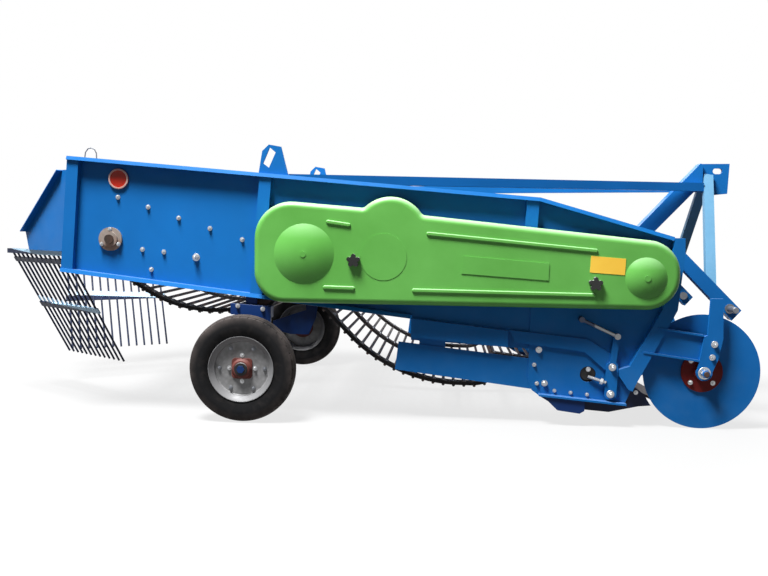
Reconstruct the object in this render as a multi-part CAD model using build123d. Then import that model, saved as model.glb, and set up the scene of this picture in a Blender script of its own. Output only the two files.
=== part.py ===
# Two-row mounted potato digger with two rod webs, combs at the rear and disc coulters at the front.
# Millimetres. X runs forward, Y to the left, Z up from the floor. Every x below is measured from the
# wheel axle; the finished pieces are moved so that the origin is on the floor under the middle.
from build123d import *
import os
from math import acos, atan2, cos, degrees, pi, radians, sin, sqrt

os.makedirs("parts", exist_ok=True)

# Combs at the rear, which narrow by 37 degrees
comb_rods = 13
comb_pitch = 42.6
comb_rod_r = 5.0
comb_length = 620.0
comb_head = (-852.0, 607.0, 701.0)
comb_bar_w = 36.0
comb_bar_h = 22.0
comb_bar_end = 18.0
turn_x = -0.8
turn_y = -0.6

# Overall stance
comb_bar_len = comb_pitch * (comb_rods - 1) + comb_bar_end
rear_end_x = comb_head[0] + turn_x * comb_bar_len + turn_y * comb_bar_w / 2
front_end_x = 2245.0
origin_x = (rear_end_x + front_end_x) / 2

# Side panels
panel_in = 655.0
panel_t = 5.0
panel_out = panel_in + panel_t
panel_rear_top = (-805.0, 1133.0)
panel_kink = (1255.0, 975.0)
panel_front_top = (1817.0, 816.0)
panel_rear_low = (-839.0, 641.0)
panel_step = (715.0, 465.0)
panel_front_low = (1228.0, 325.0)
flange_w = 36.0
flange_t = 5.0
lip_drop = 16.0
lip_lean = 6.0
post_w = 52.0
post_depth = 32.0
post_wall = 4.0

# Wheels
wheel_y = 775.0
tyre_r = 230.0
tyre_half_w = 50.0
rim_r = 141.0
rim_half_w = 45.0
rim_bed_r = 121.0
rim_t = 4.0
wheel_plate_y = 10.0
hub_r = 43.0
hub_flange_r = 64.0
wheel_axle_r = 20.0
running_gap = 0.05

# Front side plates and legs
side_plate_t = 8.0
side_plate_out = panel_out + side_plate_t
leg_depth = 34.0
leg_out = side_plate_out + leg_depth

# Disc coulters
disc_x = 1956.0
disc_r = 245.0
arm_inset = 10.0
arm_plate_out = leg_out - arm_inset
disc_inset = 33.0
disc_y = arm_plate_out - disc_inset
disc_t = 5.0
disc_hub_r = 87.0
disc_barrel_r = 40.0
disc_axle_r = 15.0
disc_clear = 12.0

# Rod webs
belt_t = 8.0
belt_w = 60.0
belt_places = (-600.0, 0.0, 600.0)
rod_across = 13.0
rod_end_inset = 2.0
rod_half_len = belt_places[-1] + belt_w / 2 - rod_end_inset
rod_pitch = 45.5
seat_gap = 0.3
sprocket_teeth = 17
sprocket_y = 300.0
sprocket_w = 22.0
rod_out = belt_t + seat_gap + rod_across / 2
drive_r = sprocket_teeth * rod_pitch / (2 * pi) - rod_out
front_drive = (259.0, 722.0)
rear_drive = (-622.0, 771.0)
front_roller = (1478.0, 222.0)
rear_roller = (40.0, 548.0)
return_roller = (1110.0, 181.0)
front_roller_r = 45.0
rear_roller_r = 66.0
return_roller_r = 12.0
front_sag = (932.0, 849.0, 682.0)
front_dip = (985.0, 317.0, 150.0)
rear_sag = (-165.0, 1059.0, 593.0)

# Front frame and hitch
beam_x = 1815.0
beam_z = 745.0
beam_w = 90.0
arm_in = 352.5
arm_out = 412.5
pin_x = 2143.0
pin_z = 495.0
pin_r = 14.0
pin_head_r = 20.0
pin_head_t = 14.0
collar_r = 22.0
collar_t = 8.0
pin_end = 500.0
head_plate_t = 18.0
strut_w = 75.0
slot_x = 2188.0
slot_z = 1139.0
slot_len = 46.0
slot_h = 28.0

# Share and its side plates
link_t = 12.0
lever_t = 10.0
share_rear = (1548.0, 205.0)
share_slope = 24.0
cheek_t = 15.0
cheek_in = panel_out - cheek_t
share_len = 406.0
row_y = 330.0

# Drive train
gearbox_x = 1688.0
gearbox_z = 645.0
gear_tail = 98.0
pto_r = 17.45
pto_journal_r = 22.0

# Belt cover
cover_back = 704.0
cover_front = 768.0
cover_wall = 4.0
cover_edge_r = 25.0
rib_w = 17.0
rib_h = 7.0


def place(shape):
    """Move a piece from the axle's datum to the machine's origin."""
    return Pos(-origin_x, 0, 0) * shape


def save(name, shape):
    export_step(place(shape), "parts/" + name + ".step")


def group(*shapes):
    solids = []
    for shape in shapes:
        solids.extend(shape.solids())
    return Compound(children=solids)


def other_side(shape):
    return mirror(shape, about=Plane.XZ)


def pair(shape):
    return group(shape, other_side(shape))


def outline(points):
    """Flat face in the XZ plane from (x, z) corners."""
    return Plane.XZ * make_face(Polyline(*points, close=True))


def slab(points, y_in, y_out):
    """Plate with an XZ outline between two distances from the middle."""
    return Pos(0, y_in, 0) * extrude(outline(points), amount=y_out - y_in, dir=(0, 1, 0))


def channel(points, y_in, y_out, wall):
    """Plate with edges folded back: an outline with its inside hollowed from the inner face."""
    inner = offset(outline(points), amount=-wall, kind=Kind.INTERSECTION)
    hollow = Pos(0, y_in, 0) * extrude(inner, amount=y_out - y_in - wall, dir=(0, 1, 0))
    return slab(points, y_in, y_out) - hollow


def strip(start, end, y_base, profile):
    """Folded strip along a line in XZ. The profile's u is outward and v is square to the line."""
    run = (end[0] - start[0], end[1] - start[1])
    length = sqrt(run[0] ** 2 + run[1] ** 2)
    plane = Plane(origin=(start[0], y_base, start[1]), x_dir=(0, 1, 0), z_dir=(run[0], 0, run[1]))
    return extrude(plane * make_face(Polyline(*profile, close=True)), amount=length)


def bar(start, end, width, depth, across=(0, 1, 0)):
    """Square-ended bar between two points, its width along the across direction."""
    p = Vector(*start)
    q = Vector(*end)
    run = q - p
    side = Vector(*across)
    side = (side - run.normalized() * side.dot(run.normalized())).normalized()
    plane = Plane(origin=p, x_dir=side, z_dir=run.normalized())
    return extrude(plane * Rectangle(width, depth), amount=run.length)


def round_bar(start, end, radius):
    p = Vector(*start)
    q = Vector(*end)
    return extrude(Plane(origin=p, z_dir=(q - p).normalized()) * Circle(radius), amount=(q - p).length)


def along_y(x, z, y_from, y_to, radius):
    return round_bar((x, y_from, z), (x, y_to, z), radius)


def eye_bar(start, end, width, y_in, y_out):
    """Flat bar with rounded ends about two points in XZ."""
    run = Vector(end[0] - start[0], end[1] - start[1])
    side = run.normalized().rotate(Axis.Z, 90) * (width / 2)
    corners = [
        (start[0] + side.X, start[1] + side.Y),
        (end[0] + side.X, end[1] + side.Y),
        (end[0] - side.X, end[1] - side.Y),
        (start[0] - side.X, start[1] - side.Y),
    ]
    plate = slab(corners, y_in, y_out)
    plate += along_y(*start, y_in, y_out, width / 2)
    return plate + along_y(*end, y_in, y_out, width / 2)


def turned(profile, x, y, z):
    """Solid of revolution about an axle along Y. The profile holds (radius, y offset) corners."""
    face = Plane.XY * make_face(Polyline(*profile, close=True))
    return Pos(x, y, z) * revolve(face, axis=Axis.Y)


def line_z(a, b, x):
    return a[1] + (b[1] - a[1]) * (x - a[0]) / (b[0] - a[0])


# Side panels: a web with folded flanges and three upright posts

def side_panel():
    web_points = [
        panel_rear_top,
        panel_kink,
        panel_front_top,
        (panel_front_top[0] + 4, 520),
        (1700, 330),
        panel_front_low,
        (1128, 331),
        (panel_step[0], 352),
        panel_step,
        panel_rear_low,
    ]
    web = slab(web_points, panel_in, panel_out)
    web -= along_y(disc_x, disc_r, panel_in - 1, panel_out + 1, disc_r + disc_clear)
    fold = [
        (-2, 0),
        (flange_w, 0),
        (flange_w + lip_lean, -lip_drop),
        (flange_w + lip_lean - flange_t, -lip_drop - 1),
        (flange_w - flange_t, -flange_t),
        (-2, -flange_t),
    ]
    for start, end in ((panel_rear_top, panel_kink), (panel_kink, panel_front_top), (panel_rear_low, panel_step)):
        web += strip(start, end, panel_out, fold)
    post = [
        (-2, 0),
        (post_depth, 0),
        (post_depth, post_w),
        (-2, post_w),
        (-2, post_w - post_wall),
        (post_depth - post_wall, post_w - post_wall),
        (post_depth - post_wall, post_wall),
        (-2, post_wall),
    ]
    # Each post: foot x, head x, foot z (None where it stands on the bottom flange)
    posts = (
        (panel_rear_low[0] + post_w, panel_rear_top[0] + post_w, None),
        (62, 103, None),
        (1232, 1252, 600),
    )
    for foot_x, head_x, foot_z in posts:
        if foot_z is None:
            foot_z = line_z(panel_rear_low, panel_step, foot_x) - 3
        head_z = line_z(panel_rear_top, panel_kink, head_x) - flange_t + 3
        web += strip((foot_x, foot_z), (head_x, head_z), panel_out, post)
    # Shaft openings at the two driven shafts
    for x, z in (front_drive, rear_drive):
        web -= along_y(x, z, panel_in - 1, panel_out + 1, 24)
    return web


panel_left = side_panel()
panel_right = other_side(panel_left)
save("side_panel_left", panel_left)
save("side_panel_right", panel_right)

# Front side plates that carry the share, with a folded foot

foot_start = (1268.0, 128.0)
foot_end = (1637.0, 96.0)
front_plate = slab(
    [
        (1228, 505),
        (1224, 200),
        (1241, 147),
        foot_start,
        foot_end,
        (1668, 170),
        (1832, 506),
        (1841, 600),
        (1854, 740),
        (1852, 808),
        (1825, 808),
        (1790, 640),
        (1740, 505),
    ],
    panel_out,
    side_plate_out,
)
front_plate -= along_y(disc_x, disc_r, panel_in, side_plate_out + 1, disc_r + disc_clear)
front_plate += strip(foot_start, foot_end, side_plate_out, [(-4, 0), (40, 0), (40, 8), (-4, 8)])
front_plate -= along_y(*front_roller, panel_in, side_plate_out + 1, 34)
save("front_side_plates", pair(front_plate))

# Lower rails and lower side plates beside the front web

rail = channel([(715, 368), (1132, 333), (1132, 404), (715, 449)], panel_out, panel_out + 28, 5)
save("lower_rails", pair(rail))

lower_plate = slab([(661, 344), (647, 221), (1236, 151), (1290, 150), (1290, 287), (1228, 283)], panel_in, panel_out)
lower_plate += slab([(752, 300), (752, 366), (865, 366), (865, 290)], panel_in - 6, panel_in)
save("lower_side_plates", pair(lower_plate))

# Front legs: folded channels from the front corner down to the share

leg_points = [
    (1817, 812),
    (1858, 812),
    (1860, 740),
    (1846, 600),
    (1838, 508),
    (1674, 186),
    (1662, 158),
    (1645, 165),
    (1605, 222),
    (1603, 250),
    (1648, 266),
    (1776, 512),
    (1790, 600),
]
leg_block = slab(leg_points, side_plate_out, leg_out)
front_leg = channel(leg_points, side_plate_out, leg_out, 5)
front_leg -= panel_left
save("front_legs", pair(front_leg))

# Share links, the levers on them and the screwed rods that set them

link_bolt = (1577.0, 258.0)
lever_head = (1592.0, 392.0)
lever_foot = (1572.0, 142.0)
rod_foot = (1441.0, 461.0)
link_out = side_plate_out + link_t
lever_out = link_out + lever_t
link = slab(
    [(1137, 407), (1471, 375), (1598, 297), (1603, 262), (1576, 236), (1544, 247), (1460, 320), (1164, 355)],
    side_plate_out,
    link_out,
)
link -= leg_block
lever = eye_bar(link_bolt, lever_head, 26, link_out, lever_out)
lever += eye_bar(link_bolt, lever_foot, 50, link_out, lever_out)
lever -= leg_block
lever += along_y(*lever_foot, side_plate_out, link_out, 16)
eye_t = 20.0
rod_y = lever_out + eye_t / 2
share_rod = round_bar((rod_foot[0], rod_y, rod_foot[1]), (lever_head[0], rod_y, lever_head[1]), 8)
share_rod += along_y(*lever_head, lever_out, lever_out + eye_t, 13)
share_rod += along_y(*rod_foot, side_plate_out, lever_out + eye_t, 12)
save("share_links", pair(link))
save("share_levers", pair(lever))
save("share_rods", pair(share_rod))

# Skids under the front side plates

skid_top = [line_z(foot_start, foot_end, x) for x in (1272, 1463)]
skid = slab([(1272, skid_top[0]), (1309, 106), (1349, 68), (1443, 56), (1463, 68), (1463, skid_top[1])],
            panel_out, panel_out + 40)
save("skids", pair(skid))

# Share: cross beam and apron plate, side cheeks and a pointed blade for each row

slope = Location((share_rear[0], 0, share_rear[1]), (0, share_slope, 0))
share_frame = slope * (Pos(100, 0, -42) * Box(80, 2 * cheek_in, 60))
share_frame += slope * (Pos(100, 0, -6) * Box(200, 2 * cheek_in, 12))
save("share_beam", share_frame)

cheek = slab([(1440, 110), (1463, 67), (1572, 59), (1697, 87), (1751, 92), (1720, 140), (1640, 200), (1440, 180)],
             cheek_in, panel_out)
cheek -= along_y(disc_x, disc_r, 600, panel_out + 1, disc_r + disc_clear)
save("share_cheeks", pair(cheek))

blade = extrude(make_face(Polyline((140, -300), (140, 300), (230, 300), (share_len, 0), (230, -300), close=True)),
                amount=10)
save("share_blades", group(slope * (Pos(0, row_y, 0) * blade), slope * (Pos(0, -row_y, 0) * blade)))

# Tail panels that narrow towards the rear, each with a flange along its sloping edge and its foot

tail_t = 4.0
tail_top = 1076.0
tail_foot = comb_head[2] + comb_bar_h / 2
tail_flange = 28.0
foot_flange = 45.0
seat_len = 30.0
tail_corners = ((0.0, tail_foot), (0.0, tail_top), (68.0, tail_top), (377.0, 799.0), (333.0, tail_foot))


def edge_x(z):
    """Rear edge of the side panel at a height."""
    low, top = panel_rear_low, panel_rear_top
    return low[0] + (top[0] - low[0]) * (z - low[1]) / (top[1] - low[1])


def tail_point(distance, z, inward=0.0):
    return (
        edge_x(z) + turn_x * distance - turn_y * inward,
        panel_in + turn_y * distance + turn_x * inward,
        z,
    )


def sheet(points, thickness, towards):
    """Flat sheet from 3-D corners in one plane, thickened towards a direction."""
    face = make_face(Polyline(*points, close=True))
    if face.faces()[0].normal_at().dot(Vector(*towards)) < 0:
        thickness = -thickness
    return extrude(face, amount=thickness, dir=face.faces()[0].normal_at())


tail = sheet([tail_point(d, z) for d, z in tail_corners], tail_t, (-turn_y, turn_x, 0))
seat = [(edge_x(tail_foot), tail_foot), (edge_x(tail_top), tail_top)]
seat += [(x + seat_len, z) for x, z in reversed(seat)]
tail += slab(seat, panel_in - tail_t, panel_in)
slope_start, slope_end = tail_corners[2], tail_corners[3]
tail += sheet(
    [
        tail_point(*slope_start, 2),
        tail_point(*slope_end, 2),
        tail_point(*slope_end, -tail_flange),
        tail_point(*slope_start, -tail_flange),
    ],
    tail_t,
    (0, 0, -1),
)
tail += sheet(
    [
        tail_point(0, tail_foot, 1),
        tail_point(333, tail_foot, 1),
        tail_point(333, tail_foot, foot_flange),
        tail_point(foot_flange, tail_foot, foot_flange),
    ],
    tail_t,
    (0, 0, 1),
)
tail -= slab([(-900, 600), (-900, 1200), (-700, 1200), (-700, 600)], panel_in, panel_in + 100) & panel_left
save("tail_panels", pair(tail))

# Combs: a top bar under the tail panel's foot, two cross bars and thirteen round rods each

comb_lean = Vector(74, -133, -250).normalized()
head_point = Vector(*comb_head)
comb_back = Vector(turn_x, turn_y, 0.0)


def comb():
    start = head_point - comb_back * comb_bar_end
    end = head_point + comb_back * comb_bar_len
    pieces = bar(tuple(start), tuple(end), comb_bar_w, comb_bar_h, across=(-turn_y, turn_x, 0))
    for index in range(comb_rods):
        head = head_point + comb_back * (index * comb_pitch)
        pieces += round_bar(tuple(head), tuple(head + comb_lean * comb_length), comb_rod_r)
    # Cross bars: distance down the rods, width, depth
    bars = ((48, 24, 8), (318, 28, 8))
    for down, width, depth in bars:
        shift = comb_lean * down
        pieces += bar(tuple(start + shift), tuple(end + shift), width, depth, across=tuple(comb_lean))
    return pieces


comb_left = comb()
save("comb_left", comb_left)
save("comb_right", other_side(comb_left))

# Cross members between the side panels

front_beam = Pos(beam_x, 0, beam_z) * (Box(beam_w, 2 * panel_in, beam_w) - Box(beam_w - 12, 2 * panel_in, beam_w - 12))
# Cross tubes: x, z, size
cross_places = ((800, 400, 60), (-150, 585, 60), (120, 1030, 60))
cross_tubes = [front_beam]
for x, z, size in cross_places:
    tube = Box(size, 2 * panel_in, size) - Box(size - 8, 2 * panel_in, size - 8)
    cross_tubes.append(Pos(x, 0, z) * tube)
save("cross_beams", group(*cross_tubes))

# Headstock: a plate with the top link slot, welded to the end of a box strut on the front beam

beam_top = beam_z + beam_w / 2
beam_back = beam_x - beam_w / 2
strut_end = 2110.0
strut = slab(
    [(beam_back, beam_top), (1842, beam_top), (strut_end, 1077), (strut_end, 1171), (2097, 1174), (beam_back, 817)],
    -strut_w / 2,
    strut_w / 2,
)
head_plate = slab(
    [(2098, 1174), (front_end_x, 1176), (2239, 1029), (2171, 1022), (2098, 1040)],
    -head_plate_t / 2,
    head_plate_t / 2,
)
slot_cut = Plane.XZ * (Pos(slot_x, slot_z) * SlotOverall(slot_len, slot_h))
head_plate -= extrude(slot_cut, amount=head_plate_t, both=True)
headstock = head_plate + strut
save("headstock", headstock)

# Lower hitch arms, each with a headed pin through its end

beam_front = beam_x + beam_w / 2
hitch_arm = slab(
    [(beam_front, 700), (beam_front, beam_top), (1892, beam_top), (2196, 488), (2155, 441), (1900, 700)],
    arm_in,
    arm_out,
)
hitch_arm -= along_y(pin_x, pin_z, arm_in - 1, arm_out + 1, pin_r + running_gap)
save("hitch_arm_left", hitch_arm)
save("hitch_arm_right", other_side(hitch_arm))
pin = along_y(pin_x, pin_z, arm_in - pin_head_t, pin_end, pin_r)
pin = chamfer(pin.faces().sort_by(Axis.Y)[-1].edges(), 2)
pin += along_y(pin_x, pin_z, arm_in - pin_head_t, arm_in, pin_head_r)
pin += along_y(pin_x, pin_z, arm_out, arm_out + collar_t, collar_r)
save("hitch_pins", pair(pin))

head_leg = bar((2140, 12, 1115), (2073, 356, 555), 30, 46, across=(0, 1, 0))
head_leg -= hitch_arm
head_leg -= headstock
head_leg -= slab([(2000, 900), (2300, 900), (2300, 1300), (2000, 1300)], -60, head_plate_t / 2)
head_leg = head_leg.solids().sort_by(SortBy.VOLUME)[-1]
save("headstock_legs", pair(head_leg))

rear_tube_x, rear_tube_z, rear_tube_w = cross_places[2]
brace = bar((rear_tube_x, 606, rear_tube_z + 18), (2103, 50, 1058), 40, 40)
brace -= Pos(rear_tube_x, 0, rear_tube_z) * Box(rear_tube_w, 2 * panel_in, 3 * rear_tube_w)
brace -= slab([(1900, 800), (2200, 800), (2200, 1300), (1900, 1300)], -60, strut_w / 2)
brace -= panel_left
brace -= head_leg
brace = brace.solids().sort_by(SortBy.VOLUME)[-1]
save("braces", pair(brace))

# Gearbox with its cross tube, and the input shaft

gear_front = beam_back
gear_len = gear_front - gearbox_x + gear_tail
gearbox = Pos(gear_front - gear_len / 2, 0, gearbox_z) * Box(gear_len, 200, 190)
gearbox = fillet(gearbox.edges().filter_by(Axis.Y), 30)
gearbox += along_y(gearbox_x, gearbox_z, -panel_in, -90, 35)
gearbox += along_y(gearbox_x, gearbox_z, -panel_in, -panel_in + 12, 60)
boss_end = gear_front + 25
gearbox += round_bar((gear_front - 20, 0, gearbox_z), (boss_end, 0, gearbox_z), 45)
shaft_end = boss_end + 105
bore_start = gear_front - 80
journal_end = boss_end + 3
gearbox -= round_bar((bore_start, 0, gearbox_z), (boss_end + 5, 0, gearbox_z), pto_journal_r + running_gap)
save("gearbox", gearbox)
pto_shaft = round_bar((bore_start + 0.5, 0, gearbox_z), (journal_end, 0, gearbox_z), pto_journal_r)
pto_shaft += round_bar((journal_end - 1, 0, gearbox_z), (shaft_end, 0, gearbox_z), pto_r)
save("pto_shaft", pto_shaft)

# Belt cover: a hollow moulded tray with two domes, ribs and blank raised pads

# Corners of the outline in turn: x, z, radius. The hump is a disc on the top edge.
cover_corners = (
    (42, 512, 131),
    (42, 956, 160),
    (511, 920.6, 0),
    (758, 893.5, 0),
    (1830, 789, 138),
    (1830, 512, 137),
)
hump_x, hump_z, hump_r, hump_blend = 624, 812, 157, 24


def nearest(face, x, z):
    return face.vertices().sort_by_distance((x, z, 0))[0]


def cover_outline():
    face = make_face(Polyline(*[(x, z) for x, z, r in cover_corners], close=True))
    face += Pos(hump_x, hump_z) * Circle(hump_r)
    face = face.faces()[0]
    for x, z in ((511, 921), (758, 893)):
        face = fillet([nearest(face, x, z)], hump_blend)
    for x, z, r in cover_corners:
        if r > 0:
            face = fillet([nearest(face, x, z)], r)
    return face


def cover_body(inset, back, front):
    face = cover_outline()
    if inset > 0:
        face = offset(face, amount=-inset)
    block = Pos(0, back, 0) * extrude(Plane.XZ * face, amount=front - back, dir=(0, 1, 0))
    return fillet(block.faces().sort_by(Axis.Y)[-1].edges(), cover_edge_r - inset)


def dome(x, z, radius, height):
    ball = (radius ** 2 + height ** 2) / (2 * height)
    cap = Pos(x, cover_front + height - ball, z) * Sphere(ball)
    return cap & along_y(x, z, cover_front - 6, cover_front + height + 1, radius)


cover = cover_body(0, cover_back, cover_front) - cover_body(cover_wall, cover_back - 1, cover_front - cover_wall)
domes = ((*front_drive, 129, 30), (gearbox_x, gearbox_z, 86, 26))
for x, z, radius, height in domes:
    cover += dome(x, z, radius, height)
    cover += along_y(x, z, cover_front, cover_front + height + 1.5, 13)
# The round pad stops short of the knob beside it
round_pad = along_y(597, 715, cover_front - 1, cover_front + 1.5, 99)
round_pad -= along_y(471, 698, cover_front - 2, cover_front + 3, 34)
cover += round_pad
cover += slab([(933, 725), (1290, 700), (1288, 628), (926, 651)], cover_front - 1, cover_front + 3)
# Ribs: start x, start z, end x, end z
ribs = ((361, 859, 449, 847), (350, 582, 470, 580), (785, 815, 1479, 755), (728, 576, 1476, 570))
for x1, z1, x2, z2 in ribs:
    rib = eye_bar((x1, z1), (x2, z2), rib_w, cover_front - 1, cover_front + rib_h)
    cover += fillet(rib.faces().sort_by(Axis.Y)[-1].edges(), rib_h - 2)
knob_places = ((471, 698), (1481, 618))
for x, z in knob_places:
    cover -= along_y(x, z, cover_back, cover_front + 5, 9)
cover = other_side(cover)
save("belt_cover", cover)


def knob(x, z):
    stud = along_y(x, z, panel_out, cover_front + 2, 8)
    head = along_y(x, z, cover_front + seat_gap, cover_front + 22, 19)
    for index in range(5):
        angle = radians(90 + 72 * index)
        lobe_x = x + 20 * cos(angle)
        lobe_z = z + 20 * sin(angle)
        head += along_y(lobe_x, lobe_z, cover_front + seat_gap, cover_front + 22, 9)
    return stud + head


save("cover_knobs", other_side(group(*[knob(x, z) for x, z in knob_places])))

# Rod webs: belts that run round circles, with rods on their outer face

# Circles of each web in running order: x, z, radius of the belt's inner face
# The return run of the front web sags and then passes over a small roller, whose radius counts as negative
return_r = -(return_roller_r + seat_gap + rod_across + seat_gap + belt_t)
front_web = (
    (*front_drive, drive_r),
    front_sag,
    front_dip,
    (*return_roller, return_r),
    (*front_roller, front_roller_r),
)
rear_web = ((*rear_drive, drive_r), rear_sag, (*rear_roller, rear_roller_r))


def tangents(circles):
    """Outer tangent between each circle and the next: start point, end point and outward angle."""
    result = []
    for index, (x1, z1, r1) in enumerate(circles):
        x2, z2, r2 = circles[(index + 1) % len(circles)]
        gap = sqrt((x2 - x1) ** 2 + (z2 - z1) ** 2)
        angle = atan2(z2 - z1, x2 - x1) - acos((r1 - r2) / gap)
        normal = (cos(angle), sin(angle))
        result.append(((x1 + r1 * normal[0], z1 + r1 * normal[1]), (x2 + r2 * normal[0], z2 + r2 * normal[1]), angle))
    return result


def loop_runs(circles, out):
    """The loop at a distance outside the belt's inner face, as straight runs and arcs."""
    grown = [(x, z, r + out) for x, z, r in circles]
    lines = tangents(grown)
    runs = []
    for index, (start, end, angle) in enumerate(lines):
        runs.append(("line", start, end, angle))
        x, z, r = grown[(index + 1) % len(grown)]
        next_angle = lines[(index + 1) % len(lines)][2]
        sweep = (next_angle - angle) % (2 * pi)
        if r < 0:
            sweep -= 2 * pi
        runs.append(("arc", (x, z, r), angle, sweep))
    return runs


def loop_face(circles, out):
    edges = []
    for run in loop_runs(circles, out):
        if run[0] == "line":
            edges.append(Line(run[1], run[2]))
        else:
            (x, z, r), start, sweep = run[1], run[2], run[3]
            half_turn = 180 if r < 0 else 0
            edges.append(CenterArc((x, z), abs(r), degrees(start) + half_turn, degrees(sweep)))
    return Plane.XZ * make_face(edges)


def belt(circles, y):
    ring = loop_face(circles, belt_t) - loop_face(circles, 0)
    return Pos(0, y - belt_w / 2, 0) * extrude(ring, amount=belt_w, dir=(0, 1, 0))


def rods(circles):
    """Rods spaced evenly round the loop."""
    runs = loop_runs(circles, rod_out)
    lengths = []
    for run in runs:
        if run[0] == "line":
            lengths.append(sqrt((run[2][0] - run[1][0]) ** 2 + (run[2][1] - run[1][1]) ** 2))
        else:
            lengths.append(run[1][2] * run[3])
    total = sum(lengths)
    count = round(total / rod_pitch)
    section = RegularPolygon(rod_across / 2, 8, major_radius=False, rotation=22.5)
    prism = Pos(0, -rod_half_len, 0) * extrude(Plane.XZ * section, amount=2 * rod_half_len, dir=(0, 1, 0))
    placed = []
    for index in range(count):
        left = total * index / count
        step = 0
        while left > lengths[step]:
            left -= lengths[step]
            step += 1
        run = runs[step]
        if run[0] == "line":
            share = left / lengths[step]
            x = run[1][0] + (run[2][0] - run[1][0]) * share
            z = run[1][1] + (run[2][1] - run[1][1]) * share
            angle = run[3]
        else:
            (cx, cz, r), start = run[1], run[2]
            angle = start + left / r
            x = cx + r * cos(angle)
            z = cz + r * sin(angle)
        placed.append(Location((x, 0, z), (0, -degrees(angle), 0)) * prism)
    return placed


for name, circles in (("front_web", front_web), ("rear_web", rear_web)):
    save(name + "_belts", group(*[belt(circles, y) for y in belt_places]))
    save(name + "_rods", group(*rods(circles)))

# Shafts and rollers inside the webs

shaft_r = 20.0


def roller(x, z, radius, half_length):
    shaft = along_y(x, z, -half_length, half_length, shaft_r)
    for y in belt_places:
        shaft += along_y(x, z, y - belt_w / 2 + 5, y + belt_w / 2 - 5, radius - seat_gap)
    return shaft


def sprocket(circles):
    """Toothed wheel of the web's first circle, its teeth between the rods."""
    x, z, r = circles[0]
    pitch_r = r + rod_out
    root_r = pitch_r - rod_across / 2 - 4
    first_rod = tangents([(x, z, r + rod_out) for x, z, r in circles])[0][2]
    root_half = (rod_pitch - rod_across) / 2 - 2.5
    tip_half = root_half - 3
    wheel = Circle(root_r)
    for index in range(sprocket_teeth):
        turn = degrees(first_rod) + (index + 0.5) * 360 / sprocket_teeth
        tooth = Polyline(
            (root_r - 4, -root_half), (pitch_r + 3, -tip_half), (pitch_r + 3, tip_half), (root_r - 4, root_half),
            close=True,
        )
        wheel += Rot(0, 0, turn) * make_face(tooth)
    wheel -= Circle(shaft_r - 1)
    solid = extrude(Plane.XZ * (Pos(x, z) * wheel), amount=sprocket_w, dir=(0, 1, 0))
    return Pos(0, sprocket_y - sprocket_w / 2, 0) * solid


def driven_shaft(circles):
    x, z, r = circles[0]
    wheel = sprocket(circles)
    return roller(x, z, r, panel_out + 30) + wheel + other_side(wheel)


save(
    "web_shafts",
    group(
        driven_shaft(front_web),
        driven_shaft(rear_web),
        roller(*front_roller, front_roller_r, panel_out),
        roller(*rear_roller, rear_roller_r, panel_in),
        along_y(*return_roller, -panel_in, panel_in, return_roller_r),
    ),
)

bearings = []
for x, z in (front_drive, rear_drive):
    ring = along_y(x, z, panel_out, panel_out + 12, 52) + along_y(x, z, panel_out, panel_out + 22, 34)
    ring -= along_y(x, z, panel_out - 1, panel_out + 40, shaft_r + running_gap)
    bearings.append(pair(ring))
save("roller_bearings", group(*bearings))

# Wheel legs with their brackets and stub axles

leg_face = wheel_y - 69
wheel_leg = slab([(30, 450), (106, 445), (95, 300), (50, 195), (-60, 195), (-165, 225), (-165, 272), (35, 342)],
                 leg_face - 16, leg_face)
wheel_leg += slab([(-72, 500), (-72, 452), (106, 440), (106, 488)], panel_in - 5, leg_face)
hang_top = line_z(panel_rear_low, panel_step, 12) - flange_t
wheel_leg += slab([(-12, 480), (36, 480), (36, hang_top + 5), (-12, hang_top + 5)], panel_out, panel_out + 12)
wheel_leg -= panel_left
wheel_leg = wheel_leg.solids().sort_by(SortBy.VOLUME)[-1]
stub_end = wheel_y + 41
wheel_leg += along_y(0, tyre_r, leg_face - 10, stub_end, wheel_axle_r)
wheel_leg += along_y(0, tyre_r, stub_end - 0.4, stub_end + 3, 27)
axle_nut = Plane.XZ * RegularPolygon(17, 6)
wheel_leg += Pos(0, stub_end + 2, tyre_r) * extrude(axle_nut, amount=7, dir=(0, 1, 0))
save("wheel_leg_left", wheel_leg)
save("wheel_leg_right", other_side(wheel_leg))

# Wheels: tyre, rim and hub

half = rim_half_w
rim_profile = [
    (rim_r, -half),
    (rim_r, -half + 5),
    (rim_bed_r + 7, -half + 7),
    (rim_bed_r, -half + 25),
    (rim_bed_r, half - 25),
    (rim_bed_r + 7, half - 7),
    (rim_r, half - 5),
    (rim_r, half),
    (rim_r - rim_t, half),
    (rim_bed_r + 3, half - 3),
    (rim_bed_r - rim_t, half - 23),
    (rim_bed_r - rim_t, wheel_plate_y + rim_t),
    (hub_r + 2, wheel_plate_y + rim_t),
    (hub_r + 2, wheel_plate_y),
    (rim_bed_r - rim_t, wheel_plate_y),
    (rim_bed_r - rim_t, -half + 23),
    (rim_bed_r + 3, -half + 3),
    (rim_r - rim_t, -half),
]
rim = turned(rim_profile, 0, wheel_y, tyre_r)

bead = [(rim_bed_r + 0.3, -half + 25.2), (rim_bed_r + 7.3, -half + 7.4), (rim_r + 0.3, -half + 5.4)]
shoulder = (219.0, -43.0)
tyre_edges = [
    Polyline(*bead),
    ThreePointArc(bead[-1], (182, -tyre_half_w), shoulder),
    ThreePointArc(shoulder, (tyre_r, 0), (shoulder[0], -shoulder[1])),
    ThreePointArc((shoulder[0], -shoulder[1]), (182, tyre_half_w), (bead[-1][0], -bead[-1][1])),
    Polyline((bead[2][0], -bead[2][1]), (bead[1][0], -bead[1][1]), (bead[0][0], -bead[0][1])),
    Line((bead[0][0], -bead[0][1]), bead[0]),
]
tyre = Pos(0, wheel_y, tyre_r) * revolve(make_face(tyre_edges), axis=Axis.Y)

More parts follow.
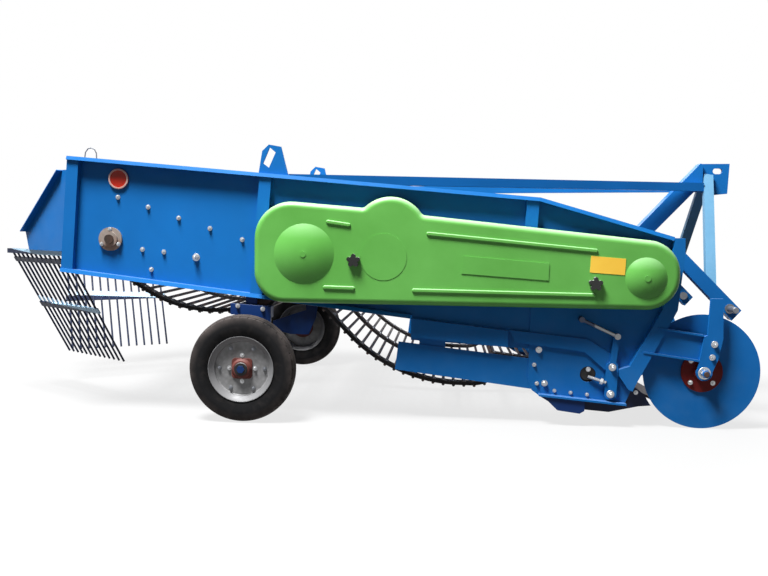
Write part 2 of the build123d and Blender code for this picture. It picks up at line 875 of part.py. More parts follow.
bore = wheel_axle_r + running_gap
hub_profile = [
    (bore, -30),
    (32, -30),
    (36, 0),
    (hub_flange_r, 2),
    (hub_flange_r, wheel_plate_y),
    (hub_r, wheel_plate_y),
    (hub_r, 24),
    (34, 40),
    (bore, 40),
]
hub = turned(hub_profile, 0, wheel_y, tyre_r)
for name, shape in (("tyre", tyre), ("wheel_rim", rim), ("wheel_hub", hub)):
    save(name + "_left", shape)
    save(name + "_right", other_side(shape))

# Disc coulters: bracket with stem and stub axle, blade and hub

stem_out = arm_plate_out + 14
lobe_r = 33.0
arm_plate = slab([(1760, 436), (1990, 400), (1990, 284), (1700, 324)], arm_plate_out - 8, arm_plate_out)
arm_fold = [(-8, 0), (14, 0), (14, 8), (-8, 8)]
top_flange = strip((1760, 426), (1947, 400), arm_plate_out, arm_fold)
low_flange = strip((1700, 324), (1947, 290), arm_plate_out, arm_fold)
stem = slab(
    [
        (1971, 561),
        (2022, 561),
        (2028, 392),
        (2010, 300),
        (disc_x + lobe_r - 2, disc_r),
        (disc_x - lobe_r + 2, disc_r),
        (1935, 300),
        (1950, 400),
        (1964, 405),
    ],
    arm_plate_out,
    stem_out,
)
stem += along_y(disc_x, disc_r, arm_plate_out, stem_out, lobe_r)
bracket = arm_plate + top_flange + low_flange - leg_block
bracket = bracket.solids().sort_by(SortBy.VOLUME)[-1]
bracket += stem
hub_out = disc_y + 27
bracket += along_y(disc_x, disc_r, hub_out + 0.5, arm_plate_out + 1, 24)
bracket += along_y(disc_x, disc_r, disc_y - 17, stem_out + 34, disc_axle_r)
bracket += along_y(disc_x, disc_r, disc_y - 17, disc_y - 13, 24)
nut = Plane.XZ * RegularPolygon(19, 6)
bracket += Pos(disc_x, stem_out, disc_r) * extrude(nut, amount=20, dir=(0, 1, 0))
save("disc_bracket_left", bracket)
save("disc_bracket_right", other_side(bracket))

half_t = disc_t / 2
disc_blade = turned(
    [(disc_barrel_r, -half_t), (disc_r - 12, -half_t), (disc_r, -1), (disc_r, half_t), (disc_barrel_r, half_t)],
    disc_x,
    disc_y,
    disc_r,
)
bore = disc_axle_r + running_gap
disc_hub = turned(
    [
        (bore, -12.5),
        (disc_barrel_r, -12.5),
        (disc_barrel_r, half_t),
        (disc_hub_r, half_t),
        (disc_hub_r, half_t + 8),
        (disc_barrel_r, half_t + 10),
        (32, 27),
        (bore, 27),
    ],
    disc_x,
    disc_y,
    disc_r,
)
for name, shape in (("disc_blade", disc_blade), ("disc_hub", disc_hub)):
    save(name + "_left", shape)
    save(name + "_right", other_side(shape))

# Lifting lugs and reflectors

lug_foot = [line_z(panel_rear_top, panel_kink, x) for x in (43, 173)]
lug = slab([(87, 1190), (141, 1181), (173, lug_foot[1]), (43, lug_foot[0]), (58, 1162)], 664, 676)
lug -= slab([(91, 1178), (117, 1156), (88, 1090), (62, 1109)], 660, 680)
save("lifting_lugs", pair(lug))

reflector = along_y(-584, 1036, panel_out, panel_out + 8, 45)
save("reflectors", pair(reflector))
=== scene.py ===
"""Two-row potato digger: materials, small parts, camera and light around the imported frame.

Metres in the part's frame: X forward, Y to the machine's left, Z up from the floor. Places of bolts and
other small parts are in millimetres with x from the wheel axle, and at() turns them to the part's frame.
"""

from math import cos, pi, radians, sin, sqrt

import bmesh
import bpy
from mathutils import Matrix, Vector


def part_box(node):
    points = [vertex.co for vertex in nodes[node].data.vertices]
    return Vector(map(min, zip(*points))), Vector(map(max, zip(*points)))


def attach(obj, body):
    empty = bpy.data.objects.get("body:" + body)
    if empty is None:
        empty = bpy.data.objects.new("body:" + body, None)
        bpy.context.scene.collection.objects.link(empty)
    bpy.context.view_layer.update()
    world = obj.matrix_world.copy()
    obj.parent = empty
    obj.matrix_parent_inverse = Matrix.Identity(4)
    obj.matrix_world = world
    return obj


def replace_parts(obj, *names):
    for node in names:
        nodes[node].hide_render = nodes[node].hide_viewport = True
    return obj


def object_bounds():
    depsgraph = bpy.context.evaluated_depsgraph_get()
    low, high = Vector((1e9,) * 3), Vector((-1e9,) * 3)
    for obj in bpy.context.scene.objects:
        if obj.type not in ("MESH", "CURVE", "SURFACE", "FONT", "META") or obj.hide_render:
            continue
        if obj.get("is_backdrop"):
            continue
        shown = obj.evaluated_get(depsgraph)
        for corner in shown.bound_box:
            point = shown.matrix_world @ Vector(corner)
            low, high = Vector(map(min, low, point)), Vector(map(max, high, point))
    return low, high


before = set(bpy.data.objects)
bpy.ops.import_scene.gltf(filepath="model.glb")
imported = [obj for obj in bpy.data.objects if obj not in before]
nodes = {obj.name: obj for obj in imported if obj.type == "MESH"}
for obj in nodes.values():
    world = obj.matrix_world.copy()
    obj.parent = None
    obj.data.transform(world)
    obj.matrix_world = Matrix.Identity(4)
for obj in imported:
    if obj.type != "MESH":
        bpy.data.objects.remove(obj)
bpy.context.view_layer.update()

# Places taken from the frame and from the part's source

tyre_low, tyre_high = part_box("tyre_left")
AXLE_X = ((tyre_low + tyre_high) / 2).x
# Millimetres: a face is given by its distance from the machine's middle
WHEEL_Y = 775
WHEEL_Z = 230
RIM_FACE = WHEEL_Y + 14
AXLE_FACE = 815
DISC_X = 1956
DISC_Z = 245
DISC_HUB_FACE = 669.5
STEM_FACE = 706
PANEL_FACE = 660
PLATE_FACE = 668
BEARING_FACE = 672
LINK_FACE = 690
COVER_FACE = 768
SHAFT_Z = 645
SIDES = (("left", 1), ("right", -1))


def at(x, y, z):
    """Millimetres from the wheel axle to metres in the part's frame."""
    return Vector((AXLE_X + x / 1000, y / 1000, z / 1000))


def on_side(place, sign):
    """Place given for the left side, on the side with this sign."""
    x, y, z = place
    return at(x, sign * y, z)


# Node materials


class Nodes:
    """A material's node tree, with short calls for the nodes that the finishes share."""

    def __init__(self, name):
        self.material = bpy.data.materials.new(name)
        self.material.use_nodes = True
        self.tree = self.material.node_tree
        self.tree.nodes.clear()
        self.output = self.tree.nodes.new("ShaderNodeOutputMaterial")
        self.shader = self.tree.nodes.new("ShaderNodeBsdfPrincipled")
        self.link(self.shader.outputs["BSDF"], self.output.inputs["Surface"])
        self.place = self.tree.nodes.new("ShaderNodeTexCoord").outputs["Object"]

    def link(self, source, target):
        self.tree.links.new(source, target)

    def set(self, **values):
        for key, value in values.items():
            self.shader.inputs[key.replace("_", " ")].default_value = value

    def feed(self, name, source):
        self.link(source, self.shader.inputs[name])

    def noise(self, scale, detail=4.0, rough=0.55, stretch=None):
        node = self.tree.nodes.new("ShaderNodeTexNoise")
        node.inputs["Scale"].default_value = scale
        node.inputs["Detail"].default_value = detail
        node.inputs["Roughness"].default_value = rough
        place = self.place
        if stretch:
            mapping = self.tree.nodes.new("ShaderNodeMapping")
            mapping.inputs["Scale"].default_value = stretch
            self.link(place, mapping.inputs["Vector"])
            place = mapping.outputs["Vector"]
        self.link(place, node.inputs["Vector"])
        return node.outputs["Fac"]

    def spots(self, scale):
        node = self.tree.nodes.new("ShaderNodeTexVoronoi")
        node.inputs["Scale"].default_value = scale
        self.link(self.place, node.inputs["Vector"])
        return node.outputs["Distance"]

    def ramp(self, source, low, high, start=0.0, end=1.0):
        """Value remapped from low..high to start..end, clamped."""
        node = self.tree.nodes.new("ShaderNodeMapRange")
        node.inputs["From Min"].default_value = low
        node.inputs["From Max"].default_value = high
        node.inputs["To Min"].default_value = start
        node.inputs["To Max"].default_value = end
        self.link(source, node.inputs["Value"])
        return node.outputs["Result"]

    def math(self, operation, a, b=0.0):
        node = self.tree.nodes.new("ShaderNodeMath")
        node.operation = operation
        for index, value in enumerate((a, b)):
            if isinstance(value, (int, float)):
                node.inputs[index].default_value = value
            else:
                self.link(value, node.inputs[index])
        return node.outputs["Value"]

    def mix(self, factor, a, b):
        """Colour a where the factor is 0 and b where it is 1."""
        node = self.tree.nodes.new("ShaderNodeMix")
        node.data_type = "RGBA"
        sockets = [s for s in node.inputs if s.type == "RGBA"]
        for socket, value in zip(sockets, (a, b)):
            if isinstance(value, tuple):
                socket.default_value = (*value, 1.0)
            else:
                self.link(value, socket)
        self.link(factor, node.inputs[0])
        return next(s for s in node.outputs if s.type == "RGBA")

    def upward(self):
        """1 on faces that look up, 0 on upright ones."""
        geometry = self.tree.nodes.new("ShaderNodeNewGeometry")
        split = self.tree.nodes.new("ShaderNodeSeparateXYZ")
        self.link(geometry.outputs["Normal"], split.inputs["Vector"])
        return self.ramp(split.outputs["Z"], 0.2, 0.95)

    def height(self, low, high):
        """1 at the low height and 0 at the high one."""
        split = self.tree.nodes.new("ShaderNodeSeparateXYZ")
        self.link(self.place, split.inputs["Vector"])
        return self.ramp(split.outputs["Z"], low, high, 1.0, 0.0)

    def along(self, direction, origin):
        """Distance in metres along a direction from a point."""
        node = self.tree.nodes.new("ShaderNodeVectorMath")
        node.operation = "DOT_PRODUCT"
        node.inputs[1].default_value = tuple(direction)
        self.link(self.place, node.inputs[0])
        return self.math("SUBTRACT", node.outputs["Value"], Vector(direction).dot(origin))

    def within(self, source, half):
        """1 where the value lies within half of 0."""
        return self.math("LESS_THAN", self.math("ABSOLUTE", source), half)

    def bump(self, source, strength, distance=0.001):
        node = self.tree.nodes.new("ShaderNodeBump")
        node.inputs["Strength"].default_value = strength
        node.inputs["Distance"].default_value = distance
        self.link(source, node.inputs["Height"])
        self.feed("Normal", node.outputs["Normal"])


def paint(name, color, dust, rough=0.38):
    """Sprayed paint: slow changes of tone, fine orange peel, painted light that makes top faces paler, and
    dust there and low down.
    """
    n = Nodes(name)
    deep = tuple(v * 0.82 for v in color)
    base = n.mix(n.ramp(n.noise(2.3), 0.35, 0.7), deep, color)
    fine = n.ramp(n.noise(38.0, 6.0), 0.45, 0.75)
    # Faces that look up take the dust colour; on the blue paints that colour is a paler blue, so this is
    # partly dust and partly painted light.
    top_dust_and_light = n.math("MULTIPLY", n.upward(), fine)
    low = n.math("MULTIPLY", n.height(0.05, 0.45), n.ramp(n.noise(9.0, 6.0), 0.42, 0.68))
    cover = n.math("MAXIMUM", n.math("MULTIPLY", top_dust_and_light, 0.20), n.math("MULTIPLY", low, 0.10))
    # Painted highlight: faces that look up are mixed towards a paler tone, standing in for light from above.
    lit_top = tuple(v * 0.8 + 0.07 for v in color)
    lit_top_base = n.mix(n.ramp(n.upward(), 0.5, 1.0, 0.0, 0.8), base, lit_top)
    n.feed("Base Color", n.mix(cover, lit_top_base, dust))
    n.feed("Roughness", n.ramp(n.noise(14.0), 0.3, 0.7, rough - 0.06, rough + 0.12))
    n.set(Specular_IOR_Level=0.14)
    n.bump(n.noise(420.0, 2.0), 0.10, 0.0006)
    return n.material


def moulded(name, color, rough):
    """Rotationally moulded plastic with a soft grain, and painted light that makes faces that look up paler.
    """
    n = Nodes(name)
    pale = tuple(min(1.0, v * 1.25 + 0.02) for v in color)
    base = n.mix(n.ramp(n.noise(3.1), 0.3, 0.75), color, pale)
    # Painted highlight: faces that look up are mixed towards a paler tone, standing in for light from above.
    lit_top = tuple(v * 0.95 + 0.28 for v in color)
    n.feed("Base Color", n.mix(n.ramp(n.upward(), 0.03, 0.75, 0.0, 0.85), base, lit_top))
    n.feed("Roughness", n.ramp(n.noise(24.0), 0.3, 0.7, rough - 0.06, rough + 0.08))
    n.set(Specular_IOR_Level=0.2)
    n.bump(n.noise(260.0, 3.0), 0.16, 0.0008)
    return n.material


def rubber(name, color, dust, dust_share):
    """Black rubber with dry dust in patches."""
    n = Nodes(name)
    patches = n.math("MULTIPLY", n.ramp(n.noise(7.0, 8.0), 0.42, 0.72), dust_share)
    n.feed("Base Color", n.mix(patches, color, dust))
    n.feed("Roughness", n.ramp(n.noise(30.0), 0.3, 0.7, 0.62, 0.85))
    n.set(Specular_IOR_Level=0.12)
    n.bump(n.noise(350.0, 3.0), 0.25, 0.0008)
    return n.material


def metal(name, color, rough, metallic=1.0, stain=None, stain_share=0.5, grain=(1.0, 1.0, 1.0)):
    """Bare or plated metal with stains and a rolled or turned grain."""
    n = Nodes(name)
    shade = n.mix(n.ramp(n.noise(60.0, 6.0, stretch=grain), 0.3, 0.7), tuple(v * 0.8 for v in color), color)
    if stain:
        share = n.math("MULTIPLY", n.ramp(n.noise(16.0, 8.0), 0.45, 0.62), stain_share)
        shade = n.mix(share, shade, stain)
        n.feed("Metallic", n.ramp(share, 0.0, 1.0, metallic, metallic * 0.4))
    else:
        n.set(Metallic=metallic)
    n.feed("Base Color", shade)
    n.feed("Roughness", n.ramp(n.noise(45.0, 5.0), 0.3, 0.7, rough - 0.07, rough + 0.12))
    n.bump(n.noise(300.0, 4.0, stretch=grain), 0.12, 0.0005)
    return n.material


def wheel_radius(n):
    """Distance from the wheels' axle in metres."""
    split = n.tree.nodes.new("ShaderNodeSeparateXYZ")
    n.link(n.place, split.inputs["Vector"])
    x = n.math("SUBTRACT", split.outputs["X"], AXLE_X)
    z = n.math("SUBTRACT", split.outputs["Z"], WHEEL_Z / 1000)
    return n.math("SQRT", n.math("ADD", n.math("MULTIPLY", x, x), n.math("MULTIPLY", z, z)))


def spangled(name, color, lip):
    """Galvanised sheet: cells of slightly different grey, dull on the disc and bright on the lip."""
    n = Nodes(name)
    cells = n.ramp(n.spots(55.0), 0.0, 0.9)
    dirty = n.ramp(n.noise(18.0, 8.0), 0.5, 0.75)
    base = n.mix(cells, tuple(v * 1.15 for v in color), tuple(v * 0.82 for v in color))
    base = n.mix(n.math("MULTIPLY", dirty, 0.45), base, (0.05, 0.045, 0.04))
    n.feed("Base Color", n.mix(n.ramp(wheel_radius(n), 0.117, 0.120), base, lip))
    n.set(Metallic=0.15, Specular_IOR_Level=0.25)
    n.feed("Roughness", n.ramp(n.noise(30.0), 0.3, 0.7, 0.42, 0.62))
    n.bump(n.noise(180.0, 4.0), 0.2, 0.0006)
    return n.material


def dusty_tyre(name, color, dust):
    """Tyre rubber that is black on the sidewall, with painted shade that darkens it towards the rim, and dry
    earth on the crown.
    """
    n = Nodes(name)
    radius = wheel_radius(n)
    crown = n.ramp(radius, 0.188, 0.222)
    blotch = n.ramp(n.noise(11.0, 8.0), 0.30, 0.62)
    thin = n.math("MULTIPLY", n.ramp(n.noise(22.0, 6.0), 0.50, 0.75), 0.14)
    share = n.math("MAXIMUM", n.math("MULTIPLY", n.math("MULTIPLY", crown, blotch), 0.75), thin)
    # Painted shade: the rubber darkens towards the rim, where the rim's gutter shades it.
    inner = tuple(v * 0.4 for v in color)
    n.feed("Base Color", n.mix(share, n.mix(n.ramp(radius, 0.150, 0.178), inner, color), dust))
    n.feed("Roughness", n.ramp(n.noise(30.0), 0.3, 0.7, 0.6, 0.85))
    n.set(Specular_IOR_Level=0.1)
    n.bump(n.noise(350.0, 3.0), 0.25, 0.0008)
    return n.material


# The left comb: its rods' direction and first head, and in metres its pale bars' half widths and low place
COMB_LEAN = Vector((74, -133, -250)).normalized()
COMB_HEAD = (-852, 607, 701)
TOP_BAR_HALF = 0.016
LOW_BAR_HALF = 0.0145
LOW_BAR_DOWN = 0.318


def comb_paint(name, rod_color, lit_bar_color):
    """Dark rods with a pale bar across the top and another half way down; the bars' pale tone is partly their
    paint and partly painted light.
    """
    n = Nodes(name)
    head_x, head_y, head_z = COMB_HEAD
    bands = None
    for sign in (1, -1):
        lean = COMB_LEAN * Vector((1, sign, 1))
        down = n.along(lean, at(head_x, sign * head_y, head_z))
        side = n.math("GREATER_THAN", n.math("MULTIPLY", n.along((0, 1, 0), Vector()), sign), 0.0)
        top = n.within(down, TOP_BAR_HALF)
        low = n.within(n.math("SUBTRACT", down, LOW_BAR_DOWN), LOW_BAR_HALF)
        band = n.math("MULTIPLY", side, n.math("MAXIMUM", top, low))
        bands = band if bands is None else n.math("MAXIMUM", bands, band)
    worn = n.mix(n.ramp(n.noise(30.0, 6.0), 0.4, 0.7), rod_color, tuple(v * 2.2 for v in rod_color))
    # Painted light in part: the bars' pale blue is raised above their paint's own tone, for bar faces that
    # look down.
    n.feed("Base Color", n.mix(bands, worn, lit_bar_color))
    n.feed("Roughness", n.ramp(n.noise(20.0), 0.3, 0.7, 0.32, 0.5))
    n.set(Specular_IOR_Level=0.15)
    n.bump(n.noise(420.0, 2.0), 0.12, 0.0006)
    return n.material


# Share rods: their direction, the thread's radians per metre and the place where it starts
ROD_LEAN = (0.9, 0, -0.44)
THREAD_TURN = 3100.0
THREAD_FROM = AXLE_X + 1.492


def half_threaded(name, start_x, plain, thread):
    """Rod that is painted at the rear and bright from a place in X on, with the thread's rings, their roots
    darkened as painted shade.
    """
    n = Nodes(name)
    front = n.ramp(n.along((1, 0, 0), Vector((start_x, 0, 0))), 0.0, 0.004)
    pitch = n.math("SINE", n.math("MULTIPLY", n.along(ROD_LEAN, Vector()), THREAD_TURN))
    # Painted shade: the thread's roots are darker, in rings at the same pitch as the bump.
    thread_root_shade = tuple(v * 0.5 for v in thread)
    n.feed("Base Color", n.mix(front, plain, n.mix(n.ramp(pitch, -1.0, 1.0), thread_root_shade, thread)))
    n.feed("Metallic", n.math("MULTIPLY", front, 0.8))
    n.set(Roughness=0.4)
    n.bump(n.math("MULTIPLY", pitch, front), 0.4, 0.0006)
    return n.material


def lens(name, color):
    """Reflector lens with small moulded prisms, whose centres are painted lighter as glints."""
    n = Nodes(name)
    cells = n.tree.nodes.new("ShaderNodeTexVoronoi")
    cells.inputs["Scale"].default_value = 260.0
    cells.inputs["Randomness"].default_value = 0.0
    n.link(n.place, cells.inputs["Vector"])
    # Painted highlight: the prisms' centres are lighter, standing in for glints.
    bright = tuple(min(1.0, v * 1.5 + 0.02) for v in color)
    n.feed("Base Color", n.mix(n.ramp(cells.outputs["Distance"], 0.1, 0.7), bright, color))
    n.feed("Roughness", n.ramp(n.noise(40.0), 0.3, 0.7, 0.12, 0.25))
    n.set(Specular_IOR_Level=0.2)
    n.bump(cells.outputs["Distance"], 0.5, 0.0012)
    return n.material


# Linear red, green and blue
EARTH = (0.16, 0.125, 0.10)
RUST = (0.16, 0.055, 0.022)
DARK_RUST = (0.075, 0.032, 0.018)
BLUE = (0.008, 0.150, 0.470)
NAVY = (0.006, 0.012, 0.040)

mats = {
    # The blue paints' dust colours are paler blues: on top faces they are partly dust and partly painted
    # light.
    "blue_paint": paint("blue_paint", BLUE, (0.16, 0.30, 0.46)),
    "navy_paint": paint("navy_paint", NAVY, EARTH, 0.42),
    # Painted reflection: a paler copy of the blue paint, standing in for the sky's sheen on faces that lean
    # up.
    "painted_sheen_blue": paint("painted_sheen_blue", (0.13, 0.31, 0.48), (0.30, 0.45, 0.60)),
    # Painted shade: a darker copy of the blue paint, standing in for the shadow that the panels and cover
    # cast.
    "painted_shade_blue": paint("painted_shade_blue", (0.007, 0.032, 0.140), (0.10, 0.20, 0.34)),
    # The comb's bar colour is partly the bars' paint and partly painted light.
    "comb_paint": comb_paint("comb_paint", (0.005, 0.010, 0.030), (0.50, 0.74, 0.95)),
    "green_plastic": moulded("green_plastic", (0.100, 0.350, 0.058), 0.34),
    "tyre_rubber": dusty_tyre("tyre_rubber", (0.010, 0.010, 0.011), (0.105, 0.088, 0.082)),
    "zinc_rim": spangled("zinc_rim", (0.240, 0.240, 0.243), (0.20, 0.20, 0.205)),
    "red_paint": paint("red_paint", (0.165, 0.050, 0.042), EARTH, 0.5),
    "disc_hub_red": paint("disc_hub_red", (0.13, 0.008, 0.008), EARTH, 0.5),
    "zinc_steel": metal("zinc_steel", (0.62, 0.63, 0.64), 0.32),
    "bolt_zinc": metal("bolt_zinc", (0.50, 0.51, 0.52), 0.36, metallic=0.85),
    "dull_bolt": metal("dull_bolt", (0.20, 0.21, 0.23), 0.45, metallic=0.7),
    "worn_share": metal("worn_share", (0.022, 0.021, 0.022), 0.5, metallic=0.3, stain=RUST, stain_share=0.25),
    "bare_steel": metal("bare_steel", (0.30, 0.30, 0.31), 0.45, stain=RUST, grain=(0.3, 1.0, 1.0)),
    "cast_rusty": metal("cast_rusty", (0.30, 0.25, 0.22), 0.62, metallic=0.25, stain=RUST, stain_share=0.55),
    "rusty_shaft": metal("rusty_shaft", (0.03, 0.018, 0.013), 0.6, 0.4, stain=DARK_RUST, stain_share=0.9),
    "belt_rubber": rubber("belt_rubber", (0.014, 0.014, 0.016), EARTH, 0.20),
    "dark_steel": metal("dark_steel", (0.030, 0.028, 0.028), 0.5, metallic=0.5, stain=RUST, stain_share=0.30),
    "rod_finish": half_threaded("rod_finish", THREAD_FROM, (0.010, 0.02, 0.06), (0.26, 0.27, 0.28)),
    "black_plastic": moulded("black_plastic", (0.012, 0.012, 0.012), 0.45),
    "reflector_red": lens("reflector_red", (0.42, 0.012, 0.0)),
    # Painted highlight: a pale pink for the ring round each reflector, standing in for light caught on the
    # lens's rim.
    "rim_highlight_ring": moulded("rim_highlight_ring", (0.70, 0.45, 0.40), 0.4),
    "amber_plate": moulded("amber_plate", (0.90, 0.50, 0.05), 0.35),
}

DRESS = {
    "blue_paint": (
        "side_panel_left side_panel_right front_side_plates lower_rails lower_side_plates front_legs "
        "share_links share_levers tail_panels cross_beams headstock braces hitch_arm_left hitch_arm_right "
        "gearbox disc_bracket_left disc_bracket_right disc_blade_left disc_blade_right lifting_lugs"
    ),
    "navy_paint": "share_beam share_cheeks",
    # The wheel legs and skids take the darker copy of the blue as painted shade.
    "painted_shade_blue": "wheel_leg_left wheel_leg_right skids",
    # The headstock legs take the paler copy of the blue as a painted reflection.
    "painted_sheen_blue": "headstock_legs",
    "comb_paint": "comb_left comb_right",
    "bare_steel": "pto_shaft",
    "worn_share": "share_blades",
    "dull_bolt": "hitch_pins",
    "rod_finish": "share_rods",
    "green_plastic": "belt_cover",
    "black_plastic": "cover_knobs",
    "belt_rubber": "front_web_belts rear_web_belts",
    "dark_steel": "front_web_rods rear_web_rods",
    "rusty_shaft": "web_shafts",
    "cast_rusty": "roller_bearings",
    "zinc_rim": "wheel_rim_left wheel_rim_right",
    "red_paint": "wheel_hub_left wheel_hub_right",
    "disc_hub_red": "disc_hub_left disc_hub_right",
    "tyre_rubber": "tyre_left tyre_right",
    "reflector_red": "reflectors",
}
for finish, names in DRESS.items():
    for node in names.split():
        for slot in nodes[node].material_slots:
            slot.material = mats[finish]


# Mesh pieces


def new_object(name, mesh_data, finish, body="frame", smooth_angle=35.0):
    """Object from a bmesh, with its finish and the body that it rides on."""
    mesh = bpy.data.meshes.new(name)
    mesh_data.to_mesh(mesh)
    mesh_data.free()
    mesh.materials.append(mats[finish])
    mesh.shade_smooth()
    obj = bpy.data.objects.new(name, mesh)
    bpy.context.scene.collection.objects.link(obj)
    with bpy.context.temp_override(object=obj, active_object=obj, selected_editable_objects=[obj]):
        mesh.set_sharp_from_angle(angle=radians(smooth_angle))
    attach(obj, body)
    return obj


def facing(normal):
    """Rotation that turns +Z to a direction."""
    return Vector(normal).to_track_quat("Z", "Y").to_matrix().to_4x4()


def ring(bm, radius, height, sides, turn, place):
    """Loop of vertices round the local Z axis."""
    loop = []
    for index in range(sides):
        angle = 2 * pi * index / sides + turn
        loop.append(bm.verts.new(place @ Vector((radius * cos(angle), radius * sin(angle), height))))
    return loop


def bridge(bm, low, high):
    """Faces between two loops with as many vertices."""
    for index in range(len(low)):
        after = (index + 1) % len(low)
        bm.faces.new((low[index], low[after], high[after], high[index]))


def capped(bm, loops):
    """Closed solid through loops of vertices, with flat ends."""
    for low, high in zip(loops, loops[1:]):
        bridge(bm, low, high)
    bm.faces.new(loops[-1])
    bm.faces.new(list(reversed(loops[0])))


def endless(bm, loops):
    """Closed solid through loops of vertices, the last joined to the first."""
    for index, low in enumerate(loops):
        bridge(bm, low, loops[(index + 1) % len(loops)])
    bmesh.ops.recalc_face_normals(bm, faces=bm.faces)


def lathe(bm, profile, sides, place, turn=0.0):
    """Closed solid from (radius, height) steps, with flat ends."""
    capped(bm, [ring(bm, radius, height, sides, turn, place) for radius, height in profile])


# Bolts: shares of the width across flats, metres for the thin parts
WASHER_R = 0.78
WASHER_EDGE_R = 0.72
WASHER_EDGE = 0.0006
WASHER_T = 0.0022
WASHER_SIDES = 20
HEAD_HEIGHT = 0.55
HEAD_CHAMFER = 0.08
HEAD_TOP = 0.86
STUD_R = 0.3
STUD_TIP_R = 0.22
STUD_TIP = 0.002
STUD_SIDES = 14
# Radians that a head turns for each metre along X, so that no two line up
HEAD_TURN = 7


def bolt(bm, point, normal, across, washer=True, stud=0.0):
    """Washer, chamfered hex head and, for a nut, the stud's end."""
    place = Matrix.Translation(point) @ facing(normal)
    corner = across / sqrt(3)
    base = 0.0
    if washer:
        edge = across * WASHER_EDGE_R
        lathe(bm, [(edge, 0), (across * WASHER_R, WASHER_EDGE), (edge, WASHER_T)], WASHER_SIDES, place)
        base = WASHER_T
    top = base + across * HEAD_HEIGHT
    head = [(corner, base), (corner, top - across * HEAD_CHAMFER), (corner * HEAD_TOP, top)]
    lathe(bm, head, 6, place, point.x * HEAD_TURN)
    if stud:
        radius, end = across * STUD_R, top + stud
        lathe(bm, [(radius, top), (radius, end), (across * STUD_TIP_R, end + STUD_TIP)], STUD_SIDES, place)


def bolts(name, entries, body="frame", finish="bolt_zinc"):
    """One object of several bolts: point, normal, width across flats, stud length."""
    bm = bmesh.new()
    for point, normal, across, stud in entries:
        bolt(bm, point, normal, across / 1000, stud=stud / 1000)
    return new_object(name, bm, finish, body)


def bolt_circle(x, face, z, sign, circle):
    """Entries for bolts on a circle about an axle along Y, on the side with this sign."""
    radius, count, start, size, stud = circle
    entries = []
    for index in range(count):
        angle = radians(start + 360 * index / count)
        point = at(x + radius * cos(angle), sign * face, z + radius * sin(angle))
        entries.append((point, (0, sign, 0), size, stud))
    return entries


# Bolts and nuts

# On the side panels and on the front side plates: x, z, width across flats
PANEL_BOLTS = (
    (-589, 956, 14),
    (-453, 914, 14),
    (-316, 868, 14),
    (-176, 824, 14),
    (-32, 777, 14),
    (-480, 727, 14),
    (-383, 717, 14),
    (-440, 639, 14),
)
FRONT_BOLTS = (
    (1295, 178, 18),
    (1262, 177, 12),
    (1249, 258, 12),
    (1267, 323, 18),
    (1338, 147, 11),
    (1407, 140, 11),
    (1477, 134, 11),
)
# On the front frame: x, z, face, width across flats, stud length
FRAME_BOLTS = (
    # The share link and its lever's foot
    (1577, 258, LINK_FACE, 21, 6),
    (1572, 142, LINK_FACE, 22, 6),
    # The disc's stem
    (1993, 368, STEM_FACE, 19, 4),
    (1986, 313, STEM_FACE, 17, 4),
    # The share cheek
    (1685, 147, PANEL_FACE, 13, 3),
    # The wheel leg's bracket
    (-40, 490, STEM_FACE, 14, 4),
    (70, 478, STEM_FACE, 14, 4),
    # The stud on the side panel
    (-238, 696, PANEL_FACE, 22, 16),
)
BOLT_STUD = 3
# Bearings of the driven shafts: x, z
BEARINGS = ((259, 722), (-622, 771))
# Circles of bolts or nuts: radius, number, start angle in degrees, width across flats, stud length
BEARING_BOLTS = (44, 3, 90, 12, 2)
RIM_NUTS = (98, 6, 0, 12, 2)
HUB_NUTS = (56, 4, 90, 13, 3)
DISC_NUTS = (66, 4, 45, 14, 3)

for side, sign in SIDES:
    out = (0, sign, 0)
    bolts(
        "panel_bolts_" + side,
        [(at(x, sign * PANEL_FACE, z), out, size, BOLT_STUD) for x, z, size in PANEL_BOLTS],
    )
    bolts(
        "front_plate_bolts_" + side,
        [(at(x, sign * PLATE_FACE, z), out, size, BOLT_STUD) for x, z, size in FRONT_BOLTS],
    )
    bolts(
        "frame_bolts_" + side,
        [(at(x, sign * face, z), out, size, stud) for x, z, face, size, stud in FRAME_BOLTS],
    )
    bearing = [entry for x, z in BEARINGS for entry in bolt_circle(x, BEARING_FACE, z, sign, BEARING_BOLTS)]
    bolts("bearing_bolts_" + side, bearing)

for side, sign in SIDES:
    rim_nuts = bolt_circle(0, RIM_FACE, WHEEL_Z, sign, RIM_NUTS)
    hub_nuts = bolt_circle(0, RIM_FACE, WHEEL_Z, sign, HUB_NUTS)
    disc_nuts = bolt_circle(DISC_X, DISC_HUB_FACE, DISC_Z, sign, DISC_NUTS)
    bolts("rim_nuts_" + side, rim_nuts, "wheel_" + side, "dull_bolt")
    bolts("hub_nuts_" + side, hub_nuts, "wheel_" + side)
    bolts("disc_nuts_" + side, disc_nuts, "disc_" + side)


# Axle ends: a dark cap round the nut of each wheel, and a bright nut on each disc's stub

# Profiles in steps of radius and height, in metres
WHEEL_CAP = ((0.0285, 0.0), (0.0285, 0.003), (0.0265, 0.0045))
WHEEL_NUT = ((0.015, 0.0), (0.015, 0.0065), (0.013, 0.0078))
DISC_END = ((0.0125, 0.0), (0.0125, 0.0135), (0.0105, 0.0155))
DISC_NUT_ACROSS = 0.034
# Millimetres that the wheel's nut and the disc's axle end stand off the faces behind them
WHEEL_NUT_OFF = 2
DISC_END_OFF = 20


def turned_piece(name, profile, sides, place, sign, finish):
    """One lathe solid that looks out of the side with this sign, from its x, |y| and z."""
    bm = bmesh.new()
    lathe(bm, profile, sides, Matrix.Translation(on_side(place, sign)) @ facing((0, sign, 0)))
    new_object(name, bm, finish)


